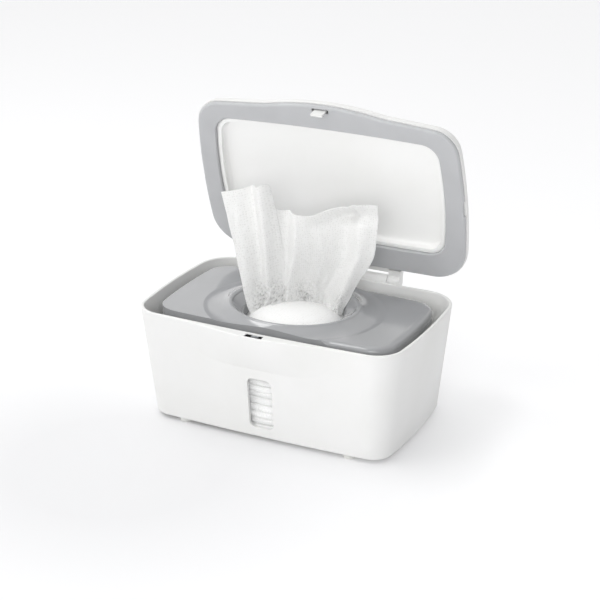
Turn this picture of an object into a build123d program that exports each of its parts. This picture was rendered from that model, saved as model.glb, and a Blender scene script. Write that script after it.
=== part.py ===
"""Wipes dispenser: a bin, a weighted plate that rides on the wipes, and a sprung lid, standing open."""

import os
from math import cos, radians, sin

from build123d import *

os.makedirs("parts", exist_ok=True)

# Every size is in millimetres. X runs along the bin, the front faces -Y, and Z is up from the table.
# The bin stands this far forward, so that the open dispenser's box is centred over the origin.
bin_centre_y = -5.1

# Bin
bin_width = 230.0
bin_depth = 142.4
rim_height = 94.5
base_width = 211.0
base_depth = 124.0
foot_height = 3.0
bin_wall = 2.6
floor_thickness = 3.0
side_bow = 4.8
front_bow = 2.4
rear_bow = 0.5
rim_front_radius = 23.0
rim_rear_radius = 29.0
base_radius = 16.5
base_edge_fillet = 1.6
rim_edge_fillet = 0.9

# Brow that swells out of the front wall and holds the latch slot
brow_reach = 7.1
brow_height = 31.0
brow_half_length = 80.0

# Latch slot in the brow's top, and the pocket below it
slot_width = 15.0
slot_depth = 6.0
slot_y = -74.2
shelf_thickness = 0.9
pocket_width = 19.0
pocket_height = 6.7
pocket_front_y = -76.4
catch_width = 6.0
catch_height = 3.0
catch_reach = 2.0
cover_thickness = 1.3
cover_inset = 1.2
cover_gap = 0.1

# Window in the front wall
window_width = 21.0
window_height = 44.0
window_bottom = 11.3
window_radius = 4.8
pane_recess = 0.9
pane_gap = 0.12
pane_flange = 3.0
pane_flange_thickness = 1.2

# Feet
foot_radius = 5.0
foot_pocket_depth = 1.4
foot_gap = 0.1
foot_x = 72.0
foot_inset_y = 7.0

# Hinge behind the rear wall
hinge_gap_to_wall = 4.9
barrel_radius = 4.8
barrel_half_length = 46.0
barrel_web_depth = 3.2
barrel_web_drop = 11.4
barrel_web_top = 0.5
knuckle_radius = 4.5
knuckle_width = 10.6
knuckle_gap = 0.4
knuckle_foot = 0.6
tongue_gap = 0.4
tongue_thickness = 3.0
tongue_root_rise = 6.5
pin_radius = 1.6
pin_clearance = 0.05
pin_cover = 1.6
pin_end_gap = 0.1
spring_outer_radius = 3.2
spring_length = 11.0
spring_gap = 0.3
lid_angle = 76.1

# Lid, in its own frame: y from the bin's centre and z from the rim, as if it were closed
lid_overhang = 1.9
lid_rear_inset = 5.1
lid_brow_reach = 8.3
lid_brow_half_length = 50.0
lid_brow_blend = 110.0
lid_height = 15.6
lid_wall = 2.2
lid_top_fillet = 10.0
gasket_lift = 0.3
gasket_thickness = 3.2
gasket_inset = 0.8
gasket_fillet = 2.2
gasket_inner_fillet = 1.0
gasket_gap = 0.3
bead_gap = 0.2
gasket_slot_shift = -0.4
gasket_slot_play = -2.5
notch_length = 14.0
notch_depth = 1.0
notch_y = -3.0

# Liner: the white tray inside the lid, with a raised bead round its recess
recess_width = 199.6
recess_depth = 102.6
recess_y = -6.8
recess_bow = 4.0
recess_radius = 15.0
bead_width = 3.6
bead_crest = 2.6
liner_wall = 1.8
liner_flange_thickness = 2.4
liner_side_gap = 0.4
panel_height = 8.5
panel_corner_radius = 3.0
bead_edge_fillet = 1.5
vent_width = 2.4
vent_height = 1.3
vent_bottom = 3.2
vent_depth = 0.9
vent_pitch = 14.3

# Release button and hook
pivot_y = -66.3
pivot_height = 8.8
hub_radius = 2.6
hub_half_length = 9.0
hub_cut = 4.6
button_spring_radius = 2.2
button_spring_gap = 0.3
button_length = 34.0
button_depth = 14.0
button_y = -56.0
button_thickness = 3.0
button_proud = 0.3
button_gap = 0.5
button_rear_play = 0.3
button_pin_radius = 1.0
ear_thickness = 3.0
hook_width = 10.0
hook_thickness = 1.6
hook_reach = 1.1
hook_play = 2.4
hook_drop = 6.6
barb_height = 2.0
arm_above = 0.6
arm_below = 1.5
window_in_flange = 13.4

# Weighted plate on the wipes
plate_width = 203.0
plate_depth = 111.0
plate_bow = 3.0
plate_radius = 17.0
plate_bottom_height = 81.0
plate_top_height = 92.5
plate_floor = 2.9
plate_skin = 2.4
plate_edge_fillet = 4.5
ring_y = -5.2
ring_crest_height = 96.9
ring_crest_radius = 44.6
ring_mouth_radius = 43.0
hole_radius = 40.5
ring_foot_radius = 64.0
ring_stretch = 1.16
collar_height = 8.5
collar_wall = 2.4
collar_gap = 0.35
lip_step = 0.8
joint_gap = 0.1
weight_length = 84.0
weight_width = 32.0
weight_thickness = 5.6
weight_x = 71.0
weight_gap = 0.2
weight_radius = 2.8

# Screws
screw_shaft_radius = 1.3
screw_head_radius = 2.6
screw_head_height = 1.4
screw_length = 9.0
screw_gap = 0.03
boss_radius = 3.3
head_room = 0.2
bore_spare = 0.5
lid_screw_x = 60.0
lid_screw_front_y = -64.0
lid_screw_rear_y = 55.5
plate_screw_x = 92.5
plate_screw_y = 30.0

# Wipes
stack_width = 188.0
stack_depth = 104.0
stack_radius = 6.0
stack_gap = 0.3
dome_radius = 39.0
dome_rise = 10.5
wipe_thickness = 1.6
wipe_waves = 5

button_bore_radius = button_pin_radius + pin_clearance
bin_plane = Plane((0, bin_centre_y, 0))
hinge_y = bin_depth / 2 + hinge_gap_to_wall
hinge_axis_point = Vector(0, bin_centre_y + hinge_y, rim_height)
lid_up = Vector(0, sin(radians(lid_angle)), cos(radians(lid_angle)))
lid_frame = Plane(origin=hinge_axis_point, x_dir=(1, 0, 0), z_dir=lid_up)


def lid_plane(height, y=0.0):
    """A plane of the lid at this height over the rim, its origin at y from the bin's centre, when closed."""
    origin = lid_frame.from_local_coords((0, y - hinge_y, height))
    return Plane(origin=origin, x_dir=(1, 0, 0), z_dir=lid_up)


def side_plane(x, y, z):
    """A plane square to X, with Y to its right and Z up, on the bin."""
    return Plane(origin=(x, bin_centre_y + y, z), x_dir=(0, 1, 0), z_dir=(1, 0, 0))


def lid_side_plane(x, y, height):
    """A plane square to X that leans with the lid."""
    origin = lid_frame.from_local_coords((x, y - hinge_y, height))
    return Plane(origin=origin, x_dir=lid_frame.y_dir, z_dir=(1, 0, 0))


def tray_outline(plane, width, depth, bows, radii, inset=0.0):
    """A rounded oblong with gently bowed sides. bows are side, front, rear, and radii front, rear."""
    side, front, rear = bows
    half_width = width / 2 - inset
    corner_x = half_width - side
    front_y = -depth / 2 + inset
    rear_y = depth / 2 - inset
    with BuildSketch(plane) as outline:
        with BuildLine():
            ThreePointArc((-corner_x, front_y + front), (0, front_y), (corner_x, front_y + front))
            ThreePointArc((corner_x, front_y + front), (half_width, 0), (corner_x, rear_y - rear))
            ThreePointArc((corner_x, rear_y - rear), (0, rear_y), (-corner_x, rear_y - rear))
            ThreePointArc((-corner_x, rear_y - rear), (-half_width, 0), (-corner_x, front_y + front))
        make_face()
        fillet(outline.vertices().sort_by(Axis.Y)[:2], radii[0] - inset)
        fillet(outline.vertices().sort_by(Axis.Y)[-2:], radii[1] - inset)
    return outline.sketch


def wall_share(height):
    """How far up the bin's wall this height is, from 0 at the base to 1 at the rim."""
    return (height - foot_height) / (rim_height - foot_height)


def wall_depth(height):
    """The bin's depth at this height."""
    return base_depth + wall_share(height) * (bin_depth - base_depth)


def wall_outline(height, inset=0.0):
    """The bin's outline at this height, drawn in by inset."""
    share = wall_share(height)
    width = base_width + share * (bin_width - base_width)
    front_radius = base_radius + share * (rim_front_radius - base_radius)
    rear_radius = base_radius + share * (rim_rear_radius - base_radius)
    bows = (side_bow, front_bow, rear_bow)
    return tray_outline(
        bin_plane.offset(height), width, wall_depth(height), bows, (front_radius, rear_radius), inset
    )


def brow_outline(drop, reach_share, length_share):
    """A slice of the brow: a bell curve in front of the wall, this far below the rim."""
    height = rim_height - drop
    wall_y = -wall_depth(height) / 2
    half_length = brow_half_length * length_share
    end_y = wall_y + front_bow * (half_length / (bin_width / 2 - side_bow)) ** 2 + 0.3
    root_y = wall_y + bin_wall * 0.85 + front_bow
    with BuildSketch(bin_plane.offset(height)) as outline:
        with BuildLine():
            Spline(
                (-half_length, end_y),
                (0, wall_y - brow_reach * reach_share),
                (half_length, end_y),
                tangents=[(1, -0.03), (1, 0.03)],
            )
            Line((half_length, end_y), (half_length, root_y))
            Line((half_length, root_y), (-half_length, root_y))
            Line((-half_length, root_y), (-half_length, end_y))
        make_face()
    return outline.sketch


def lid_outline(height, inset=0.0):
    """The lid's outline: the rim's, with the brow at the front and a little cut back at the hinge."""
    half_width = bin_width / 2 + lid_overhang - inset
    corner_x = half_width - side_bow
    front_y = -bin_depth / 2 + front_bow + inset
    brow_y = -bin_depth / 2 - lid_brow_reach + inset
    shoulder_y = brow_y + lid_brow_reach * 0.65
    rear_y = bin_depth / 2 - lid_rear_inset - inset
    with BuildSketch(lid_plane(height)) as outline:
        with BuildLine():
            Line((-corner_x, front_y), (-lid_brow_half_length, shoulder_y))
            ThreePointArc(
                (-lid_brow_half_length, shoulder_y), (0, brow_y), (lid_brow_half_length, shoulder_y)
            )
            Line((lid_brow_half_length, shoulder_y), (corner_x, front_y))
            ThreePointArc((corner_x, front_y), (half_width, 0), (corner_x, rear_y))
            ThreePointArc((corner_x, rear_y), (0, rear_y + rear_bow), (-corner_x, rear_y))
            ThreePointArc((-corner_x, rear_y), (-half_width, 0), (-corner_x, front_y))
        make_face()
        fillet(outline.vertices().sort_by(Axis.Y)[:2], lid_brow_blend + inset)
        wide = outline.vertices().filter_by(lambda v: abs(v.X) > corner_x - 1)
        fillet(wide.sort_by(Axis.Y)[:2], rim_front_radius - inset)
        wide = outline.vertices().filter_by(lambda v: abs(v.X) > corner_x - 1)
        fillet(wide.sort_by(Axis.Y)[-2:], rim_rear_radius - inset)
    return outline.sketch


def recess_outline(height, inset=0.0):
    """The outline of the bead round the lid's recess, drawn in by inset."""
    bows = (recess_bow, front_bow, rear_bow)
    radii = (recess_radius, recess_radius)
    return tray_outline(lid_plane(height, recess_y), recess_width, recess_depth, bows, radii, inset)


def blank_outline(height):
    """The plate's outline before it is stretched along X."""
    bows = (plate_bow / ring_stretch, plate_bow, plate_bow)
    radii = (plate_radius, plate_radius)
    return tray_outline(bin_plane.offset(height), plate_width / ring_stretch, plate_depth, bows, radii)


def plate_outline(height):
    """The plate's finished outline."""
    return scale(blank_outline(height), by=(ring_stretch, 1, 1))


def disc(plane, radius, *places):
    """Round profiles at these places of a plane."""
    with BuildSketch(plane) as profile:
        with Locations(*places):
            Circle(radius)
    return profile.sketch


def oblong(plane, width, depth, place=(0, 0), radius=0.0):
    """A rectangle at this place of a plane, with round corners if radius is given."""
    with BuildSketch(plane) as profile:
        with Locations(place):
            Rectangle(width, depth)
        if radius:
            fillet(profile.vertices(), radius)
    return profile.sketch


# Window plane: it leans with the front wall, its outside facing forward and a little down
wall_lean = Vector(0, (base_depth - bin_depth) / 2, rim_height - foot_height).normalized()
window_height_centre = window_bottom + window_height / 2
window_point = Vector(0, bin_centre_y - wall_depth(window_height_centre) / 2, window_height_centre)
window_plane = Plane(origin=window_point, x_dir=(1, 0, 0), z_dir=Vector(1, 0, 0).cross(wall_lean))

# Foot places on the bin's plane
foot_y = base_depth / 2 - foot_inset_y
foot_places = {
    "foot_front_left": (-foot_x, -foot_y),
    "foot_front_right": (foot_x, -foot_y),
    "foot_rear_left": (-foot_x, foot_y),
    "foot_rear_right": (foot_x, foot_y),
}

# Bin: tapered walls, the brow, the latch slot, the window and the hinge barrel
cavity_floor = foot_height + floor_thickness
pocket_top = rim_height - shelf_thickness
with BuildPart() as base_shell:
    loft([wall_outline(foot_height), wall_outline(rim_height)], ruled=True)
    fillet(base_shell.edges().group_by(Axis.Z)[0], base_edge_fillet)
    brow_slices = [(0, 1.0, 1.0), (0.42, 0.8, 0.93), (0.8, 0.38, 0.8), (1.0, 0.03, 0.68)]
    loft([brow_outline(brow_height * drop, reach, length) for drop, reach, length in brow_slices])
    loft(
        [wall_outline(cavity_floor, bin_wall), wall_outline(rim_height + 1, bin_wall)],
        ruled=True,
        mode=Mode.SUBTRACT,
    )
    fillet(base_shell.edges().group_by(Axis.Z)[-1], rim_edge_fillet)
    with BuildSketch(side_plane(-barrel_half_length, hinge_y, rim_height)) as barrel_profile:
        Circle(barrel_radius)
        with BuildLine():
            Polyline(
                (0, -barrel_radius),
                (-hinge_gap_to_wall - barrel_web_depth, -barrel_radius - barrel_web_drop),
                (-hinge_gap_to_wall - barrel_web_depth / 2, -barrel_web_top),
                (0, 0),
                close=True,
            )
        make_face()
    extrude(amount=2 * barrel_half_length)
    extrude(
        disc(side_plane(-barrel_half_length, hinge_y, rim_height), pin_radius + pin_clearance, (0, 0)),
        amount=2 * barrel_half_length,
        mode=Mode.SUBTRACT,
    )
    for end in (-barrel_half_length, barrel_half_length - spring_length - spring_gap):
        extrude(
            disc(side_plane(end, hinge_y, rim_height), spring_outer_radius + spring_gap, (0, 0)),
            amount=spring_length + spring_gap,
            mode=Mode.SUBTRACT,
        )
    extrude(
        oblong(bin_plane.offset(pocket_top - 1), slot_width, slot_depth, (0, slot_y), 0.8),
        amount=shelf_thickness + 2,
        mode=Mode.SUBTRACT,
    )
    pocket_depth = -bin_depth / 2 + bin_wall + 1.5 - pocket_front_y
    extrude(
        oblong(
            bin_plane.offset(pocket_top - pocket_height),
            pocket_width,
            pocket_depth,
            (0, pocket_front_y + pocket_depth / 2),
        ),
        amount=pocket_height,
        mode=Mode.SUBTRACT,
    )
    extrude(
        oblong(window_plane, window_width, window_height, radius=window_radius),
        amount=2 * bin_wall,
        both=True,
        mode=Mode.SUBTRACT,
    )
    extrude(
        disc(bin_plane.offset(foot_height), foot_radius + foot_gap, *foot_places.values()),
        amount=foot_pocket_depth,
        mode=Mode.SUBTRACT,
    )
base_shell.part.label = "base_shell"
export_step(base_shell.part, "parts/base_shell.step")

# Window pane: a clear plug with a flange behind the wall
with BuildPart() as window_pane:
    extrude(
        oblong(
            window_plane.offset(-pane_recess),
            window_width - 2 * pane_gap,
            window_height - 2 * pane_gap,
            radius=window_radius - pane_gap,
        ),
        amount=-(bin_wall + pane_gap - pane_recess),
    )
    extrude(
        oblong(
            window_plane.offset(-bin_wall - pane_gap),
            window_width + 2 * pane_flange,
            window_height + 2 * pane_flange,
            radius=window_radius + pane_flange,
        ),
        amount=-pane_flange_thickness,
    )
window_pane.part.label = "window_pane"
export_step(window_pane.part, "parts/window_pane.step")

# Feet: soft discs in the underside
for foot_name, foot_place in foot_places.items():
    with BuildPart() as foot:
        extrude(disc(bin_plane, foot_radius, foot_place), amount=foot_height + foot_pocket_depth)
        fillet(foot.edges().group_by(Axis.Z)[0], 0.5)
    foot.part.label = foot_name
    export_step(foot.part, f"parts/{foot_name}.step")

# Catch: a small steel block across the middle of the slot's rear edge, which the hook grips from below
slot_rear_y = slot_y + slot_depth / 2
cover_front_y = -bin_depth / 2 + bin_wall - cover_thickness - cover_inset
catch_front_y = slot_rear_y - catch_reach
with BuildPart() as latch_catch:
    extrude(
        oblong(
            bin_plane.offset(pocket_top - cover_gap - catch_height),
            catch_width,
            cover_front_y - catch_front_y,
            (0, (cover_front_y + catch_front_y) / 2),
        ),
        amount=catch_height,
    )
latch_catch.part.label = "latch_catch"
export_step(latch_catch.part, "parts/latch_catch.step")

# Latch cover: closes the pocket from inside the bin
with BuildPart() as latch_cover:
    extrude(
        oblong(
            bin_plane.offset(pocket_top - pocket_height + cover_gap),
            pocket_width - 2 * cover_gap,
            cover_thickness,
            (0, cover_front_y + cover_thickness / 2),
        ),
        amount=pocket_height - 2 * cover_gap,
    )
latch_cover.part.label = "latch_cover"
export_step(latch_cover.part, "parts/latch_cover.step")

# Hinge pin through the barrel and both knuckles
knuckle_end = barrel_half_length + knuckle_gap + knuckle_width
pin_end = knuckle_end - pin_cover - pin_end_gap
with BuildPart() as hinge_pin:
    extrude(disc(side_plane(-pin_end, hinge_y, rim_height), pin_radius, (0, 0)), amount=2 * pin_end)
hinge_pin.part.label = "hinge_pin"
export_step(hinge_pin.part, "parts/hinge_pin.step")

# Torsion springs, one at each end of the barrel, drawn as the sleeves that their coils fill
spring_ends = {
    "lid_spring_left": -barrel_half_length + spring_gap,
    "lid_spring_right": barrel_half_length - spring_length,
}
for spring_name, spring_start in spring_ends.items():
    with BuildPart() as lid_spring:
        spring_plane = side_plane(spring_start, hinge_y, rim_height)
        extrude(disc(spring_plane, spring_outer_radius, (0, 0)), amount=spring_length - spring_gap)
        extrude(
            disc(spring_plane, pin_radius + spring_gap, (0, 0)), amount=spring_length, mode=Mode.SUBTRACT
        )
    lid_spring.part.label = spring_name
    export_step(lid_spring.part, f"parts/{spring_name}.step")

# Lid shell: the white outer cover, its tongue over the barrel and its two knuckles
shell_foot = gasket_lift + gasket_thickness + gasket_gap
flange_height = gasket_lift + gasket_thickness + 0.1
flange_top = flange_height + liner_flange_thickness
lid_screw_places = [
    (x, y) for x in (-lid_screw_x, lid_screw_x) for y in (lid_screw_front_y, lid_screw_rear_y)
]
with BuildPart() as lid_space:
    extrude(lid_outline(shell_foot - 1, lid_wall), amount=lid_height - lid_wall - shell_foot + 1)
    fillet(lid_space.faces().sort_by(Axis(hinge_axis_point, lid_up))[-1].edges(), lid_top_fillet - lid_wall)
with BuildPart() as lid_shell:
    extrude(lid_outline(shell_foot), amount=lid_height - shell_foot)
    fillet(lid_shell.faces().sort_by(Axis(hinge_axis_point, lid_up))[-1].edges(), lid_top_fillet)
    add(lid_space.part, mode=Mode.SUBTRACT)
    lid_rear_y = bin_depth / 2 - lid_rear_inset
    tongue_root = lid_rear_y - lid_wall / 2 - hinge_y
    tongue_end = -hinge_gap_to_wall - tongue_gap
    with BuildSketch(lid_side_plane(-knuckle_end, hinge_y, 0)) as tongue_profile:
        with BuildLine():
            Polyline(
                (tongue_root, shell_foot),
                (tongue_end, shell_foot),
                (tongue_end, shell_foot + tongue_thickness),
                (tongue_root, shell_foot + tongue_root_rise),
                close=True,
            )
        make_face()
    extrude(amount=2 * knuckle_end)
    knuckle_front = lid_rear_y - hinge_y + 0.5
    for knuckle_start in (-knuckle_end, knuckle_end - knuckle_width):
        with BuildSketch(lid_side_plane(knuckle_start, hinge_y, 0)) as knuckle_profile:
            Circle(knuckle_radius)
            with BuildLine():
                Polyline(
                    (0, knuckle_foot),
                    (knuckle_front, knuckle_foot),
                    (knuckle_front, shell_foot),
                    (tongue_end, shell_foot + tongue_thickness),
                    (0, knuckle_radius),
                    close=True,
                )
            make_face()
        extrude(amount=knuckle_width)
    bore_end = knuckle_end - pin_cover
    extrude(
        disc(lid_side_plane(-bore_end, hinge_y, 0), pin_radius + pin_clearance, (0, 0)),
        amount=2 * bore_end,
        mode=Mode.SUBTRACT,
    )
    with BuildSketch(lid_plane(lid_height - lid_wall - 1, button_y + button_rear_play)) as button_opening:
        SlotOverall(
            button_length + 2 * button_gap,
            button_depth + 2 * (button_gap + button_rear_play),
        )
    extrude(amount=lid_wall + 2, mode=Mode.SUBTRACT)
    boss_top = lid_height - lid_wall / 2
    boss_foot = flange_top + 0.1
    extrude(disc(lid_plane(boss_foot), boss_radius, *lid_screw_places), amount=boss_top - boss_foot)
    extrude(
        disc(lid_plane(flange_top - 1), screw_shaft_radius, *lid_screw_places),
        amount=screw_length + bore_spare,
        mode=Mode.SUBTRACT,
    )
    ear_x = hub_half_length + 0.7 + ear_thickness / 2
    ear_depth = 2 * (button_y - button_depth / 2 - button_gap - pivot_y)
    ear_bottom = pivot_height - hub_radius
    for x in (-ear_x, ear_x):
        ear_plane = lid_plane(ear_bottom, pivot_y)
        extrude(oblong(ear_plane, ear_thickness, ear_depth, (x, 0)), amount=boss_top - ear_bottom)
    extrude(
        disc(lid_side_plane(-ear_x - ear_thickness, pivot_y, pivot_height), button_bore_radius, (0, 0)),
        amount=2 * (ear_x + ear_thickness),
        mode=Mode.SUBTRACT,
    )
lid_shell.part.label = "lid_shell"
export_step(lid_shell.part, "parts/lid_shell.step")

# Lid liner: flange, raised bead and recessed panel, with a window for the button's works
with BuildPart() as recess_space:
    extrude(recess_outline(bead_crest - 1, bead_width), amount=panel_height - bead_crest + 1)
    recess_floor = recess_space.faces().sort_by(Axis(hinge_axis_point, lid_up))[-1]
    fillet(recess_floor.edges(), panel_corner_radius)
with BuildPart() as lid_liner:
    tray_height = panel_height + liner_wall - bead_crest
    extrude(recess_outline(bead_crest, bead_width - liner_wall), amount=tray_height)
    tray_floor = lid_liner.faces().sort_by(Axis(hinge_axis_point, lid_up))[-1]
    fillet(tray_floor.edges(), panel_corner_radius + liner_wall)
    extrude(recess_outline(bead_crest), amount=flange_top - bead_crest)
    fillet(lid_liner.faces().sort_by(Axis(hinge_axis_point, lid_up))[0].edges(), bead_edge_fillet)
    extrude(lid_outline(flange_height, lid_wall + liner_side_gap), amount=liner_flange_thickness)
    add(recess_space.part, mode=Mode.SUBTRACT)
    window_rear_y = pivot_y + hub_radius + 1.2
    window_front_y = -bin_depth / 2 - lid_brow_reach
    extrude(
        oblong(
            lid_plane(flange_height, (window_rear_y + window_front_y) / 2),
            2 * window_in_flange,
            window_rear_y - window_front_y,
        ),
        amount=liner_flange_thickness,
        mode=Mode.SUBTRACT,
    )
    extrude(
        disc(lid_plane(flange_height), screw_shaft_radius, *lid_screw_places),
        amount=liner_flange_thickness,
        mode=Mode.SUBTRACT,
    )
    extrude(
        disc(lid_plane(flange_height), screw_head_radius + head_room, *lid_screw_places),
        amount=screw_head_height,
        mode=Mode.SUBTRACT,
    )
    vent_places = [(0, (step - 1) * vent_pitch) for step in range(3)]
    for place in vent_places:
        extrude(
            oblong(
                lid_plane(vent_bottom, recess_y - 6),
                recess_width - 2 * bead_width + 2 * vent_depth,
                vent_width,
                place,
            ),
            amount=vent_height,
            mode=Mode.SUBTRACT,
        )
lid_liner.part.label = "lid_liner"
export_step(lid_liner.part, "parts/lid_liner.step")

# Lid gasket: the grey ring that meets the rim, with a slot for the hook and a notch at each side
with BuildPart() as lid_gasket:
    extrude(lid_outline(gasket_lift, gasket_inset), amount=gasket_thickness)
    fillet(lid_gasket.faces().sort_by(Axis(hinge_axis_point, lid_up))[0].edges(), gasket_fillet)
    extrude(recess_outline(gasket_lift, -bead_gap), amount=gasket_thickness, mode=Mode.SUBTRACT)
    gasket_face = lid_gasket.faces().sort_by(Axis(hinge_axis_point, lid_up))[0]
    fillet(gasket_face.inner_wires()[0].edges(), gasket_inner_fillet)
    extrude(
        oblong(
            lid_plane(gasket_lift, slot_y + gasket_slot_shift),
            slot_width - 0.6,
            slot_depth + gasket_slot_play,
            radius=0.8,
        ),
        amount=gasket_thickness,
        mode=Mode.SUBTRACT,
    )
    for side in (-1, 1):
        extrude(
            oblong(
                lid_plane(gasket_lift, notch_y),
                4.0,
                notch_length,
                (side * (bin_width / 2 + lid_overhang - gasket_inset - notch_depth + 2.0), 0),
                radius=1.2,
            ),
            amount=gasket_thickness,
            mode=Mode.SUBTRACT,
        )
lid_gasket.part.label = "lid_gasket"
export_step(lid_gasket.part, "parts/lid_gasket.step")

# Release button: pad in the lid's top, a post and the hub that rocks on its pin
pad_bottom = lid_height + button_proud - button_thickness
with BuildPart() as release_button:
    with BuildSketch(lid_plane(pad_bottom, button_y)) as pad_profile:
        SlotOverall(button_length, button_depth)
    extrude(amount=button_thickness)
    fillet(release_button.faces().sort_by(Axis(hinge_axis_point, lid_up))[-1].edges(), 0.8)
    post_rear_y = button_y - 3.5
    extrude(
        oblong(
            lid_plane(pad_bottom - 2.4, (button_y - button_depth / 2 + 1.0 + post_rear_y) / 2),
            2 * hub_half_length - 2,
            post_rear_y - button_y + button_depth / 2 - 1.0,
        ),
        amount=2.4,
    )
    with BuildSketch(lid_side_plane(-hub_half_length, pivot_y, pivot_height)) as hub_profile:
        Circle(hub_radius)
        with BuildLine():
            Polyline(
                (0, hub_radius),
                (post_rear_y - pivot_y, pad_bottom - pivot_height),
                (post_rear_y - pivot_y, pad_bottom - pivot_height - 2.0),
                (hub_radius, 0),
                (0, 0),
                close=True,
            )
        make_face()
    extrude(amount=2 * hub_half_length - hub_cut)
    extrude(
        disc(lid_side_plane(-hub_half_length, pivot_y, pivot_height), button_bore_radius, (0, 0)),
        amount=2 * hub_half_length - hub_cut,
        mode=Mode.SUBTRACT,
    )
release_button.part.label = "release_button"
export_step(release_button.part, "parts/release_button.step")

# Hook: an arm from the hub, a stem down through the gasket and a barb that points to the rear
stem_rear_y = slot_y + slot_depth / 2 - hook_play
stem_front_y = stem_rear_y - hook_thickness
with BuildPart() as latch_hook:
    with BuildSketch(lid_side_plane(-hook_width / 2, 0, 0)) as hook_profile:
        with BuildLine():
            Polyline(
                (pivot_y - hub_radius, pivot_height - arm_below),
                (pivot_y - hub_radius, pivot_height + arm_above),
                (stem_front_y, pivot_height + arm_above),
                (stem_front_y, -hook_drop),
                (stem_rear_y, -hook_drop),
                (stem_rear_y + hook_reach, -hook_drop + barb_height * 0.6),
                (stem_rear_y + hook_reach, -hook_drop + barb_height),
                (stem_rear_y, -hook_drop + barb_height),
                (stem_rear_y, pivot_height - arm_below),
                close=True,
            )
        make_face()
    extrude(amount=hook_width)
latch_hook.part.label = "latch_hook"
export_step(latch_hook.part, "parts/latch_hook.step")

# Button pin, fixed in the two ears
with BuildPart() as button_pin:
    extrude(
        disc(lid_side_plane(-ear_x - 1.5, pivot_y, pivot_height), button_pin_radius, (0, 0)),
        amount=2 * ear_x + 3,
    )
button_pin.part.label = "button_pin"
export_step(button_pin.part, "parts/button_pin.step")

# Button spring, round the pin beside the hub, drawn as the sleeve that its coils fill
with BuildPart() as button_spring:
    button_spring_start = hub_half_length - hub_cut + button_spring_gap
    button_spring_plane = lid_side_plane(button_spring_start, pivot_y, pivot_height)
    button_spring_length = hub_cut - button_spring_gap
    extrude(disc(button_spring_plane, button_spring_radius, (0, 0)), amount=button_spring_length)
    extrude(
        disc(button_spring_plane, button_pin_radius + button_spring_gap, (0, 0)),
        amount=button_spring_length,
        mode=Mode.SUBTRACT,
    )
button_spring.part.label = "button_spring"
export_step(button_spring.part, "parts/button_spring.step")

# Screws that hold the liner in the lid
with BuildPart() as lid_screws:
    head_height = flange_height + 0.1
    shaft_height = flange_height + screw_head_height
    extrude(
        disc(lid_plane(head_height), screw_head_radius, *lid_screw_places),
        amount=shaft_height - head_height,
    )
    extrude(
        disc(lid_plane(shaft_height), screw_shaft_radius - screw_gap, *lid_screw_places),
        amount=screw_length - screw_head_height,
    )
lid_screws.part.label = "lid_screws"
export_step(lid_screws.part, "parts/lid_screws.step")

# Weighted plate, top half: wings, a raised ring round the hole, and pockets for the weights
inner_top = plate_top_height - plate_skin
collar_room = hole_radius + collar_wall + collar_gap
joint_height = plate_bottom_height + plate_floor
collar_top = plate_bottom_height + collar_height
lip_radius = hole_radius + lip_step
plate_screw_places = [
    (x, y) for x in (-plate_screw_x, plate_screw_x) for y in (-plate_screw_y, plate_screw_y)
]
ring_plane = Plane(origin=(0, bin_centre_y + ring_y, 0), x_dir=(1, 0, 0), z_dir=(0, -1, 0))
mouth_height = ring_crest_height - 1.6

# The blank is drawn with a round ring, and then stretched along X, so that the ring and the corners are oval
with BuildPart() as plate_blank:
    with BuildSketch(ring_plane) as top_profile:
        with BuildLine():
            Line((0, joint_height + joint_gap), (0, mouth_height))
            Line((0, mouth_height), (ring_mouth_radius, mouth_height))
            ThreePointArc(
                (ring_mouth_radius, mouth_height),
                (ring_crest_radius, ring_crest_height),
                (ring_crest_radius + 2.2, ring_crest_height - 0.9),
            )
            ThreePointArc(
                (ring_crest_radius + 2.2, ring_crest_height - 0.9),
                (ring_crest_radius + 6.2, plate_top_height + 1.3),
                (ring_foot_radius, plate_top_height),
            )
            Line((ring_foot_radius, plate_top_height), (plate_width, plate_top_height))
            Line((plate_width, plate_top_height), (plate_width, joint_height + joint_gap))
            Line((plate_width, joint_height + joint_gap), (0, joint_height + joint_gap))
        make_face()
    revolve(axis=Axis((0, bin_centre_y + ring_y, 0), (0, 0, 1)))
    extrude(blank_outline(plate_bottom_height), amount=ring_crest_height, mode=Mode.INTERSECT)
    blank_tops = plate_blank.faces().filter_by(GeomType.PLANE).filter_by_position(
        Axis.Z, plate_top_height - 0.1, plate_top_height + 0.1
    )
    fillet(blank_tops[0].outer_wire().edges(), plate_edge_fillet)

with BuildPart() as plate_top:
    add(scale(plate_blank.part, by=(ring_stretch, 1, 1)))
    with BuildSketch(bin_plane.offset(collar_top + collar_gap)) as lip_edge:
        with Locations((0, ring_y)):
            Circle(lip_radius)
    with BuildSketch(bin_plane.offset(mouth_height)) as mouth_edge:
        with Locations((0, ring_y)):
            Ellipse(ring_mouth_radius * ring_stretch, ring_mouth_radius)
    loft([lip_edge.sketch, mouth_edge.sketch], mode=Mode.SUBTRACT)
    extrude(
        disc(bin_plane.offset(joint_height + joint_gap), collar_room, (0, ring_y)),
        amount=collar_top + collar_gap - joint_height - joint_gap,
        mode=Mode.SUBTRACT,
    )
    pocket_places = [(-weight_x, 0), (weight_x, 0)]
    for place in pocket_places:
        extrude(
            oblong(
                bin_plane.offset(joint_height),
                weight_width + 2 * weight_gap,
                weight_length + 2 * weight_gap,
                place,
                weight_radius + weight_gap,
            ),
            amount=inner_top - joint_height,
            mode=Mode.SUBTRACT,
        )
    extrude(
        disc(bin_plane.offset(joint_height), screw_shaft_radius, *plate_screw_places),
        amount=screw_length - plate_floor,
        mode=Mode.SUBTRACT,
    )
plate_top.part.label = "plate_top"
export_step(plate_top.part, "parts/plate_top.step")

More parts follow.
